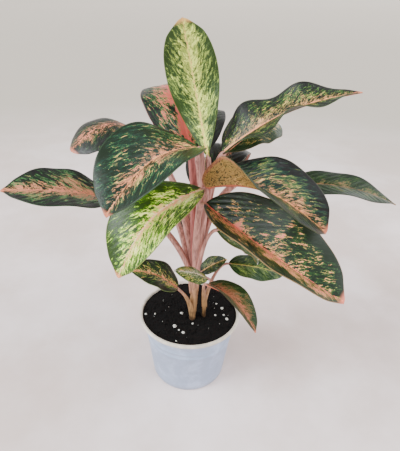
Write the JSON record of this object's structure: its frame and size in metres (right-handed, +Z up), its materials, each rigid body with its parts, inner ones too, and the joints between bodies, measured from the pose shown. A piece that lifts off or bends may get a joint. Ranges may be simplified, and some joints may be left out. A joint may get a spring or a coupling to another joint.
{
  "type": "potted chinese evergreen",
  "caption": "Leafy house plant with variegated pink, cream and green blades on pink stems, standing in a plain white nursery pot of soil.",
  "frame": {"origin": "middle of the flat underside of the pot, on the surface it stands on", "axes": "+Z up, along the pot's axis; -Y towards the plant's open, showing side; +X to the right as seen from there"},
  "size_m": [0.4381, 0.3064, 0.4723],
  "materials": {
    "pot": "satin",
    "soil": "matte",
    "perlite": "matte",
    "stem": "satin",
    "leaf": "satin",
    "pale_leaf": "satin"
  },
  "bodies": {
    "root": {"pot": "pot", "soil": "soil", "stems_main": "stem", "stems_side": "stem", "leaf_top": "pale_leaf", "leaf_back_left": "leaf", "leaf_front_left": "leaf", "leaf_far_left": "leaf", "leaf_left": "leaf", "leaf_pale": "pale_leaf", "leaf_upper_right": "leaf", "leaf_under_right": "leaf", "leaf_right": "leaf", "leaf_far_right": "leaf", "leaf_front_right": "leaf", "leaf_back_high": "leaf", "leaf_back_right": "leaf", "leaf_back": "leaf", "leaf_back_low_left": "leaf", "leaf_back_low": "leaf", "leaf_low_right": "leaf", "leaf_low_far_right": "leaf", "leaf_low_left": "leaf", "leaf_small_right": "leaf", "leaf_small_left": "pale_leaf", "leaf_lowest": "leaf", "perlite_01": "perlite", "perlite_02": "perlite", "perlite_03": "perlite", "perlite_04": "perlite", "perlite_05": "perlite", "perlite_06": "perlite", "perlite_07": "perlite", "perlite_08": "perlite", "perlite_09": "perlite", "perlite_10": "perlite", "perlite_11": "perlite", "perlite_12": "perlite", "perlite_13": "perlite"}
  },
  "joints": []
}
